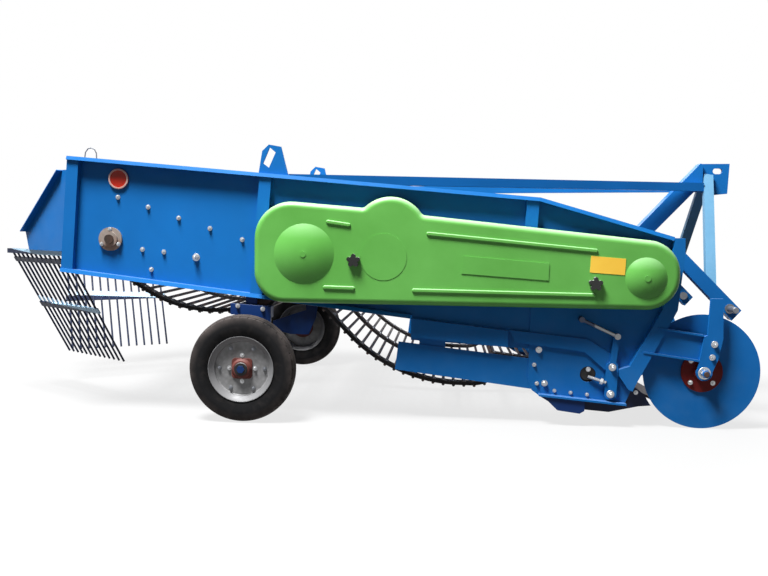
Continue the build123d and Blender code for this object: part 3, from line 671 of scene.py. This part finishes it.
for side, sign in SIDES:
    turned_piece("axle_cap_" + side, WHEEL_CAP, 40, (0, AXLE_FACE, WHEEL_Z), sign, "black_plastic")
    bm = bmesh.new()
    bolt(bm, on_side((DISC_X, STEM_FACE, DISC_Z), sign), (0, sign, 0), DISC_NUT_ACROSS)
    new_object("disc_axle_nut_" + side, bm, "bolt_zinc")
    disc_end = (DISC_X, STEM_FACE + DISC_END_OFF, DISC_Z)
    turned_piece("disc_axle_end_" + side, DISC_END, 32, disc_end, sign, "dark_steel")
    wheel_nut = (0, AXLE_FACE + WHEEL_NUT_OFF, WHEEL_Z)
    turned_piece("wheel_axle_nut_" + side, WHEEL_NUT, 6, wheel_nut, sign, "dull_bolt")


# Reflector rings, in a pale colour that paints the highlight on each reflector's rim

# The left one's middle, and the section's steps of radius and height in metres
REFLECTOR = (-584, PLATE_FACE, 1036)
RING_SIDES = 48
RING_SECTION = ((0.0375, 0), (0.0445, 0), (0.0445, 0.0021), (0.0445 * 0.97, 0.003), (0.0375, 0.003))

for side, sign in SIDES:
    bm = bmesh.new()
    place = Matrix.Translation(on_side(REFLECTOR, sign)) @ facing((0, sign, 0))
    endless(bm, [ring(bm, radius, height, RING_SIDES, 0.0, place) for radius, height in RING_SECTION])
    new_object("reflector_ring_" + side, bm, "rim_highlight_ring")


# Square red plate on each wheel's hub

# Half width, corner radius and thickness in metres
HUB_PLATE = (0.0445, 0.017, 0.007)
CORNER_STEPS = 5


def rounded_plate(bm, half, corner, thickness, place):
    """Square plate with round corners, flat on its back."""
    loop = []
    for index in range(4):
        x = -(half - corner) if index in (1, 2) else half - corner
        y = -(half - corner) if index in (2, 3) else half - corner
        for step in range(CORNER_STEPS + 1):
            angle = pi / 2 * index + pi / 2 * step / CORNER_STEPS
            loop.append((x + corner * cos(angle), y + corner * sin(angle)))
    # Height and scale of each loop
    steps = ((0.0, 1.0), (thickness * 0.75, 1.0), (thickness, 0.97))
    capped(bm, [[bm.verts.new(place @ Vector((x * f, y * f, z))) for x, y in loop] for z, f in steps])


for side, sign in SIDES:
    bm = bmesh.new()
    place = Matrix.Translation(at(0, sign * RIM_FACE, WHEEL_Z)) @ facing((0, sign, 0))
    rounded_plate(bm, *HUB_PLATE, place)
    new_object("hub_plate_" + side, bm, "red_paint", "wheel_" + side)


# Tyres with a ribbed tread: the same outline as the plain ones, with grooves cut into the crown

TYRE_R = WHEEL_Z / 1000
# Places in the section: radius and distance from the tyre's middle, in metres
BEAD = ((0.1213, 0.0198), (0.1303, 0.0287), (0.1413, 0.0396))
SIDEWALL = (0.182, 0.050)
SHOULDER = (0.219, 0.043)
GROOVES = (0.0, 0.0165, 0.0315)
GROOVE_HALF = 0.0022
GROOVE_DEPTH = 0.0045
GROOVE_SLOPE = 0.0006
CROWN_EDGE = 0.0385
LUGS = 40
# One lug's pitch: share of the pitch, and 1 in the gap between two lugs
LUG_STEPS = ((0.0, 0), (0.03, 1), (0.17, 1), (0.20, 0), (0.6, 0))


def arc_points(start, through, end, count):
    """Points of the circle through three points, without its start."""
    a, b, c = Vector(start), Vector(through), Vector(end)
    d = 2 * (a.x * (b.y - c.y) + b.x * (c.y - a.y) + c.x * (a.y - b.y))
    far_a, far_b, far_c = a.length_squared, b.length_squared, c.length_squared
    x = (far_a * (b.y - c.y) + far_b * (c.y - a.y) + far_c * (a.y - b.y)) / d
    y = (far_a * (c.x - b.x) + far_b * (a.x - c.x) + far_c * (b.x - a.x)) / d
    centre = Vector((x, y))
    arm = a - centre
    sweep = arm.angle_signed(c - centre)
    points = []
    for index in range(1, count + 1):
        share = sweep * index / count
        turned = Matrix.Rotation(-share, 2) @ arm
        points.append(tuple(centre + turned))
    return points


def crown_height(y):
    """Radius of the crown's arc at a distance from the tyre's middle."""
    rise = TYRE_R - SHOULDER[0]
    radius = (SHOULDER[1] ** 2 + rise ** 2) / (2 * rise)
    return TYRE_R - radius + sqrt(radius ** 2 - y ** 2)


def half_section():
    """Radius, width place and kind of the tyre's section from the bead to the middle."""
    side = [*BEAD, *arc_points(BEAD[-1], SIDEWALL, SHOULDER, 14)]
    section = [(radius, y, "side") for radius, y in side]
    section.append((crown_height(CROWN_EDGE), CROWN_EDGE, "lug"))
    for groove in reversed(GROOVES):
        outer, inner = groove + GROOVE_HALF, groove - GROOVE_HALF
        section.append((crown_height(outer), outer, "lug" if groove == GROOVES[-1] else "rib"))
        section.append((crown_height(outer) - GROOVE_DEPTH, outer - GROOVE_SLOPE, "groove"))
        if groove > 0:
            section.append((crown_height(inner) - GROOVE_DEPTH, inner + GROOVE_SLOPE, "groove"))
            section.append((crown_height(inner), inner, "rib"))
    return section


def tread_mesh(sign):
    """Tyre with the section turned about the axle, and its shoulder lugs cut in steps."""
    half = half_section()
    section = half + [(radius, -y, kind) for radius, y, kind in reversed(half)]
    pitch = 2 * pi / LUGS
    turns = []
    for index in range(LUGS):
        for share, low in LUG_STEPS:
            turns.append((pitch * (index + share), low))
    bm = bmesh.new()
    loops = []
    for angle, low in turns:
        loop = []
        for radius, y, kind in section:
            reach = 1000 * (radius - GROOVE_DEPTH if low and kind == "lug" else radius)
            spot = at(reach * cos(angle), sign * (WHEEL_Y + y * 1000), WHEEL_Z + reach * sin(angle))
            loop.append(bm.verts.new(spot))
        loops.append(loop)
    endless(bm, loops)
    return bm


# Half of the rim's section, from its edge down the gutter to the disc: radius and width place
RIM_FRONT = ((0.141, 0.045), (0.1388, 0.0452), (0.1372, 0.0425), (0.128, 0.0315), (0.1185, 0.0245))
RIM_BACK = ((0.121, 0.021), (0.1298, 0.0292), (0.1402, 0.0402))
RIM_DISC_OUT = 0.014
RIM_DISC_IN = 0.010
RIM_HOLE = 0.045
DISC_EDGE = 0.1168
RIM_SIDES = 72


def rim_mesh(sign):
    """Rim with a rolled gutter on both edges and a flat disc with a hole for the hub."""
    section = [
        *RIM_FRONT,
        (DISC_EDGE, RIM_DISC_OUT + 0.003),
        (DISC_EDGE - 0.0028, RIM_DISC_OUT),
        (RIM_HOLE, RIM_DISC_OUT),
        (RIM_HOLE, RIM_DISC_IN),
        (DISC_EDGE, RIM_DISC_IN),
        *[(radius, -y) for radius, y in reversed(RIM_FRONT)],
        *[(radius, -y) for radius, y in reversed(RIM_BACK)],
        *RIM_BACK,
    ]
    bm = bmesh.new()
    place = Matrix.Translation(at(0, sign * WHEEL_Y, WHEEL_Z)) @ facing((0, sign, 0))
    endless(bm, [ring(bm, radius, y, RIM_SIDES, 0.0, place) for radius, y in section])
    return bm


for side, sign in SIDES:
    tyre = new_object("treaded_tyre_" + side, tread_mesh(sign), "tyre_rubber", "wheel_" + side, 28.0)
    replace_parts(tyre, "tyre_" + side)
    rim = new_object("gutter_rim_" + side, rim_mesh(sign), "zinc_rim", "wheel_" + side, 30.0)
    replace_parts(rim, "wheel_rim_" + side)


# Rod webs: thicker belts than the plain ones, with two rivets and a backing plate at each rod

ROD_R = 0.0065
SAME_ROD = 2.5 * ROD_R
# The belt's inner and outer faces, in metres from the rods' middles
BELT_IN = -0.0148
BELT_OUT = -0.0010
BELT_HALF = 0.030
BELT_Y = (-0.600, 0.0, 0.600)
BELT_CORNERS = ((BELT_IN, -1), (BELT_OUT, -1), (BELT_OUT, 1), (BELT_IN, 1))
STEPS_PER_ROD = 5
BACK_T = 0.002
BACK_HALF_X = 0.009
BACK_HALF_Y = 0.026
BACK_CORNERS = ((-1, -1), (1, -1), (1, 1), (-1, 1))
RIVET_OFF = 0.016
RIVET_SINK = 0.001
OUTER_RIVET = ((0.0055, 0.0), (0.0048, 0.002), (0.0025, 0.003))
INNER_RIVET = ((0.0065, 0.0), (0.0055, 0.0018), (0.003, 0.0026))


def islands(mesh):
    """Places of the joined vertices of a mesh, group by group, in the same order each run."""
    bm = bmesh.new()
    bm.from_mesh(mesh)
    seen = set()
    groups = []
    for first in bm.verts:
        if first in seen:
            continue
        seen.add(first)
        stack = [first]
        group = []
        while stack:
            vert = stack.pop()
            group.append(vert.co.copy())
            for edge in vert.link_edges:
                other = edge.other_vert(vert)
                if other not in seen:
                    seen.add(other)
                    stack.append(other)
        groups.append(group)
    bm.free()
    return groups


def rod_places(node):
    """Middle of each rod in turn round its web, in X and Z."""
    obj = nodes[node]
    clusters = []
    for group in islands(obj.data):
        points = [(obj.matrix_world @ point).xz for point in group]
        for cluster in clusters:
            if (cluster[0] - points[0]).length < SAME_ROD:
                cluster.extend(points)
                break
        else:
            clusters.append(points)
    middles = []
    for points in clusters:
        xs = [point.x for point in points]
        zs = [point.y for point in points]
        middles.append(Vector(((min(xs) + max(xs)) / 2, (min(zs) + max(zs)) / 2)))
    chain = [middles.pop()]
    while middles:
        nearest = min(middles, key=lambda place: (place - chain[-1]).length)
        middles.remove(nearest)
        chain.append(nearest)
    area = sum(a.x * b.y - b.x * a.y for a, b in zip(chain, chain[1:] + chain[:1]))
    return chain if area > 0 else list(reversed(chain))


def spline_point(a, b, c, d, t):
    """Catmull-Rom point between b and c."""
    square = (2 * a - 5 * b + 4 * c - d) * t * t
    cube = (3 * b - a - 3 * c + d) * t * t * t
    return 0.5 * (2 * b + (c - a) * t + square + cube)


def belt_path(chain):
    """Smooth closed path through the rods' middles, and the direction out of the web at each point."""
    path = []
    for index in range(len(chain)):
        four = [chain[(index + step) % len(chain)] for step in (-1, 0, 1, 2)]
        path.extend(spline_point(*four, step / STEPS_PER_ROD) for step in range(STEPS_PER_ROD))
    outward = []
    for index in range(len(path)):
        along = path[(index + 1) % len(path)] - path[index - 1]
        outward.append(Vector((along.y, -along.x)).normalized())
    return path, outward


def web(name, rods_node, belts_node):
    """Belts, rivets and backing plates of one web."""
    chain = rod_places(rods_node)
    path, outward = belt_path(chain)
    bm = bmesh.new()
    for belt_y in BELT_Y:
        loops = []
        for place, out in zip(path, outward):
            loop = []
            for reach, y in BELT_CORNERS:
                spot = place + out * reach
                loop.append(bm.verts.new((spot.x, belt_y + y * BELT_HALF, spot.y)))
            loops.append(loop)
        endless(bm, loops)
    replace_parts(new_object(name + "_thick_belts", bm, "belt_rubber"), belts_node)

    rivets = bmesh.new()
    plates = bmesh.new()
    for index, rod in enumerate(chain):
        out = outward[index * STEPS_PER_ROD]
        out3 = Vector((out.x, 0, out.y))
        along3 = Vector((-out.y, 0, out.x))
        for belt_y in BELT_Y:
            for offset in (-RIVET_OFF, RIVET_OFF):
                spot = Vector((rod.x, belt_y + offset, rod.y))
                head = Matrix.Translation(spot + out3 * (ROD_R - RIVET_SINK)) @ facing(out3)
                lathe(rivets, OUTER_RIVET, 8, head)
                head = Matrix.Translation(spot + out3 * (BELT_IN - BACK_T)) @ facing(-out3)
                lathe(rivets, INNER_RIVET, 8, head)
            loops = []
            for reach in (BELT_IN, BELT_IN - BACK_T):
                loop = []
                for a, b in BACK_CORNERS:
                    spot = Vector((rod.x, belt_y + b * BACK_HALF_Y, rod.y))
                    loop.append(plates.verts.new(spot + out3 * reach + along3 * a * BACK_HALF_X))
                loops.append(loop)
            capped(plates, loops)
    new_object(name + "_rivets", rivets, "dull_bolt")
    bmesh.ops.recalc_face_normals(plates, faces=plates.faces)
    new_object(name + "_plates", plates, "dark_steel")


web("front_web", "front_web_rods", "front_web_belts")
web("rear_web", "rear_web_rods", "rear_web_belts")


# Bent wire hooks on the side panels, and the screws that set the share

# The hook's points: x, z
HOOK = ((-731, 1122), (-727, 1150), (-715, 1166), (-700, 1169), (-686, 1162), (-678, 1146), (-677, 1117))
HOOK_Y = 678
HOOK_R = 0.0028
# The set screw's ends and nut, the bolt beside it and the black disc behind them that paints a hole's shade:
# x, |y|, z
SCREW_REAR = (1477, 676, 214)
SCREW_FRONT = (1552, 692, 192)
SCREW_NUT = (1528, 687, 199)
SCREW_LEAN = (1, 0.2, -0.29)
SCREW_R = 0.0075
SCREW_CORE = 0.84
SCREW_TURNS = 22
SCREW_NUT_ACROSS = 0.024
HOLE_BOLT = (1479, 669, 244)
HOLE_BOLT_ACROSS = 0.014
HOLE = (1478, 661, 228)
HOLE_SHADE_DISC = ((0.0325, 0.0), (0.0325, 0.001))


def tube(bm, points, radius, sides):
    """Round bar along a line of points."""
    loops = []
    for index, point in enumerate(points):
        before = points[max(index - 1, 0)]
        after = points[min(index + 1, len(points) - 1)]
        place = Matrix.Translation(point) @ facing(after - before)
        loops.append(ring(bm, radius, 0.0, sides, 0.0, place))
    for low, high in zip(loops, loops[1:]):
        shift = min(range(sides), key=lambda step: (high[step].co - low[0].co).length)
        for index in range(sides):
            a, b = low[index], low[(index + 1) % sides]
            c, d = high[(index + 1 + shift) % sides], high[(index + shift) % sides]
            bm.faces.new((a, b, c, d))
    bm.faces.new(list(reversed(loops[0])))
    bm.faces.new(loops[-1])
    bmesh.ops.recalc_face_normals(bm, faces=bm.faces)


def screw(bm, start, end, radius, turns):
    """Threaded rod: rings that step in to its core and out along its length."""
    length = (end - start).length
    profile = []
    for index in range(turns):
        profile.append((radius, length * index / turns))
        profile.append((radius * SCREW_CORE, length * (index + 0.5) / turns))
    profile.append((radius, length))
    lathe(bm, profile, 14, Matrix.Translation(start) @ facing(end - start))


for side, sign in SIDES:
    bm = bmesh.new()
    tube(bm, [at(x, sign * HOOK_Y, z) for x, z in HOOK], HOOK_R, 8)
    new_object("wire_hook_" + side, bm, "dull_bolt")
    bm = bmesh.new()
    screw(bm, on_side(SCREW_REAR, sign), on_side(SCREW_FRONT, sign), SCREW_R, SCREW_TURNS)
    lean = Vector(SCREW_LEAN) * Vector((1, sign, 1))
    bolt(bm, on_side(SCREW_NUT, sign), lean, SCREW_NUT_ACROSS, washer=False)
    bolt(bm, on_side(HOLE_BOLT, sign), (0, sign, 0), HOLE_BOLT_ACROSS)
    new_object("adjusting_screw_" + side, bm, "bolt_zinc")
    # Painted shade: a thin black disc on the panel stands in for the dark of a hole.
    turned_piece("hole_shade_disc_" + side, HOLE_SHADE_DISC, 36, HOLE, sign, "black_plastic")


# Input shaft with six splines, and the gearbox's bolts

SHAFT_R = 0.01745
JOURNAL_R = 0.022
ROOT_R = 0.0149
GROOVE_R = 0.0151
END_R = 0.0148
SPLINES = 6
# One spline's pitch: degrees, and 1 where the point stands on the spline
SPLINE = ((-14.4, 1), (-5, 1), (5, 1), (14.4, 1), (16.2, 0), (25, 0), (35, 0), (43.8, 0))
# Along the shaft: x, radius, and 1 where the splines are cut
SHAFT_STEPS = (
    (1690.5, JOURNAL_R, 0),
    (1797.6, JOURNAL_R, 0),
    (1798.0, SHAFT_R, 0),
    (1822.0, SHAFT_R, 0),
    (1822.4, SHAFT_R, 1),
    (1858.0, SHAFT_R, 1),
    (1860.0, GROOVE_R, 0),
    (1866.0, GROOVE_R, 0),
    (1868.0, SHAFT_R, 1),
    (1898.0, SHAFT_R, 1),
    (1900.0, END_R, 0),
)

bm = bmesh.new()
loops = []
for x, radius, cut in SHAFT_STEPS:
    loop = []
    for index in range(SPLINES):
        for degrees_round, high in SPLINE:
            angle = radians(360 / SPLINES * index + degrees_round)
            reach = 1000 * (min(radius, ROOT_R) if cut and not high else radius)
            loop.append(bm.verts.new(at(x, reach * cos(angle), SHAFT_Z + reach * sin(angle))))
    loops.append(loop)
capped(bm, loops)
bmesh.ops.recalc_face_normals(bm, faces=bm.faces)
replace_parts(new_object("splined_shaft", bm, "bare_steel", "input_shaft", 25.0), "pto_shaft")

gear_x = 1000 * (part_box("gearbox")[0].x - AXLE_X)
GEAR_TOP = 740
# Bolts on the gearbox's rear and top, and the filler plug: place, direction, width across flats, stud length
REAR_BOLTS = [((gear_x, y, z), (-1, 0, 0), 14, 2) for y in (-75, 75) for z in (600, 690)]
TOP_BOLTS = [((gear_x + x, y, GEAR_TOP), (0, 0, 1), 14, 2) for y in (-75, 75) for x in (45, 145)]
PLUG = ((gear_x + 95, 0, GEAR_TOP), (0, 0, 1), 24, 0)
entries = [(at(*place), way, size, stud) for place, way, size, stud in (*REAR_BOLTS, *TOP_BOLTS, PLUG)]
bolts("gearbox_bolts", entries, finish="dull_bolt")


# Weld beads

WELD_R = 0.0036
WELD_END = 0.6
WELD_DIP = 0.82
RIPPLE = 0.005
# Beads on both sides: start and end, x, |y|, z
WELDS = (
    ((1770, 655, 790), (1860, 655, 790)),
    ((1770, 655, 700), (1770, 655, 790)),
    ((1860, 655, 700), (1860, 655, 790)),
    ((1770, 655, 700), (1860, 655, 700)),
    ((1860, 352.5, 702), (1860, 352.5, 788)),
    ((1860, 412.5, 702), (1860, 412.5, 788)),
    ((1860, 354, 790), (1860, 411, 790)),
)


def weld(bm, start, end):
    """Bead of close ripples along an edge."""
    length = (end - start).length
    ripples = max(int(length / RIPPLE), 3)
    profile = [(WELD_R * WELD_END, 0.0)]
    for index in range(1, ripples):
        profile.append((WELD_R * (1.0 if index % 2 else WELD_DIP), length * index / ripples))
    profile.append((WELD_R * WELD_END, length))
    lathe(bm, profile, 8, Matrix.Translation(start) @ facing(end - start))


for side, sign in SIDES:
    bm = bmesh.new()
    for start, end in WELDS:
        weld(bm, on_side(start, sign), on_side(end, sign))
    new_object("welds_" + side, bm, "blue_paint", smooth_angle=80.0)


# Blank amber plate on the cover

# Its corners' x and z, and its thickness
PLATE_CORNERS = ((1460, 734), (1603, 724), (1600, 656), (1457, 665))
PLATE_T = 1.5

bm = bmesh.new()
faces = (COVER_FACE, COVER_FACE + PLATE_T)
capped(bm, [[bm.verts.new(at(x, -face, z)) for x, z in PLATE_CORNERS] for face in faces])
bmesh.ops.recalc_face_normals(bm, faces=bm.faces)
new_object("blank_plate", bm, "amber_plate")


# Camera: the photograph's own view

# Millimetres and radians
CAMERA_AT = (856.3, -4383.8, 837.0)
CAMERA_YAW = -0.070284
CAMERA_PITCH = 0.069694
CAMERA_ROLL = 0.014249
FOCAL_PX = 860.05
IMAGE_W = 768
SENSOR = 36.0

ahead = Vector((sin(CAMERA_YAW) * cos(CAMERA_PITCH), cos(CAMERA_YAW) * cos(CAMERA_PITCH), -sin(CAMERA_PITCH)))
level = Vector((cos(CAMERA_YAW), -sin(CAMERA_YAW), 0))
upright = level.cross(ahead)
right = level * cos(CAMERA_ROLL) + upright * sin(CAMERA_ROLL)
up = upright * cos(CAMERA_ROLL) - level * sin(CAMERA_ROLL)

camera_data = bpy.data.cameras.new("camera")
camera_data.sensor_width = SENSOR
camera_data.sensor_fit = "HORIZONTAL"
camera_data.lens = FOCAL_PX / IMAGE_W * SENSOR
camera_data.clip_end = 100
camera = bpy.data.objects.new("camera", camera_data)
bpy.context.scene.collection.objects.link(camera)
turn = Matrix((right, up, -ahead)).transposed().to_4x4()
camera.matrix_world = Matrix.Translation(at(*CAMERA_AT)) @ turn
bpy.context.scene.camera = camera


# Floor, backdrop and light

# The floor turns fully white between two distances from the part, in metres
FADE_FROM = 1.8
FADE_TO = 4.5
FLOOR_SIZE = 60
FLOOR_DROP = 0.0005
FLOOR_GREY = (0.10, 0.10, 0.10)
FLOOR_GLOW = 0.76
SKY_COLOR = (0.80, 0.88, 1.0, 1)
SKY_STRENGTH = 0.06


def white_for_camera(name, color, strength):
    """Pale surface that looks nearly white to the camera and in reflections, and keeps shadows."""
    n = Nodes(name)
    n.set(Base_Color=(*color, 1.0), Roughness=0.9, Specular_IOR_Level=0.0)
    away = n.tree.nodes.new("ShaderNodeVectorMath")
    away.operation = "LENGTH"
    n.link(n.place, away.inputs[0])
    glow_at = n.ramp(away.outputs["Value"], FADE_FROM, FADE_TO, strength, 1.0)
    paths = n.tree.nodes.new("ShaderNodeLightPath")
    glow = n.tree.nodes.new("ShaderNodeEmission")
    glow.inputs["Color"].default_value = (1, 1, 1, 1)
    seen = n.math("MAXIMUM", paths.outputs["Is Camera Ray"], paths.outputs["Is Glossy Ray"])
    seen = n.math("MAXIMUM", seen, paths.outputs["Is Transmission Ray"])
    n.link(n.math("MULTIPLY", seen, glow_at), glow.inputs["Strength"])
    add = n.tree.nodes.new("ShaderNodeAddShader")
    n.link(n.shader.outputs["BSDF"], add.inputs[0])
    n.link(glow.outputs["Emission"], add.inputs[1])
    n.link(add.outputs["Shader"], n.output.inputs["Surface"])
    return n.material


bpy.ops.mesh.primitive_plane_add(size=FLOOR_SIZE, location=(0, 0, -FLOOR_DROP))
floor = bpy.context.object
floor.name = "floor"
floor.data.materials.append(white_for_camera("floor_pale", FLOOR_GREY, FLOOR_GLOW))
floor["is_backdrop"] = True

world = bpy.data.worlds.new("studio")
bpy.context.scene.world = world
world.use_nodes = True
tree = world.node_tree
tree.nodes.clear()
sky = tree.nodes.new("ShaderNodeBackground")
sky.inputs["Color"].default_value = SKY_COLOR
sky.inputs["Strength"].default_value = SKY_STRENGTH
white = tree.nodes.new("ShaderNodeBackground")
white.inputs["Color"].default_value = (1, 1, 1, 1)
white.inputs["Strength"].default_value = 1.0
paths = tree.nodes.new("ShaderNodeLightPath")
seen = paths.outputs["Is Camera Ray"]
for kind in ("Is Glossy Ray", "Is Transmission Ray"):
    either = tree.nodes.new("ShaderNodeMath")
    either.operation = "MAXIMUM"
    tree.links.new(seen, either.inputs[0])
    tree.links.new(paths.outputs[kind], either.inputs[1])
    seen = either.outputs["Value"]
choose = tree.nodes.new("ShaderNodeMixShader")
tree.links.new(seen, choose.inputs["Fac"])
tree.links.new(sky.outputs["Background"], choose.inputs[1])
tree.links.new(white.outputs["Background"], choose.inputs[2])
world_out = tree.nodes.new("ShaderNodeOutputWorld")
tree.links.new(choose.outputs["Shader"], world_out.inputs["Surface"])

# Area lights: name, place, target, size, watts
LIGHTS = (
    ("key", (-1.7, -2.8, 6.8), (0, -0.5, 0.4), 2.1, 1360),
    ("overhead", (0.4, 0.6, 4.8), (0, 0, 0.5), 3.5, 90),
    ("far_fill", (1.5, 5.0, 3.0), (0, 0, 0.6), 3.0, 50),
)
for name, place, target, size, watts in LIGHTS:
    data = bpy.data.lights.new(name, "AREA")
    data.energy = watts
    data.size = size
    lamp = bpy.data.objects.new(name, data)
    bpy.context.scene.collection.objects.link(lamp)
    lamp.location = place
    lamp.rotation_euler = (Vector(target) - Vector(place)).to_track_quat("-Z", "Y").to_euler()

bpy.context.scene.view_settings.view_transform = "Standard"

low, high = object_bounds()
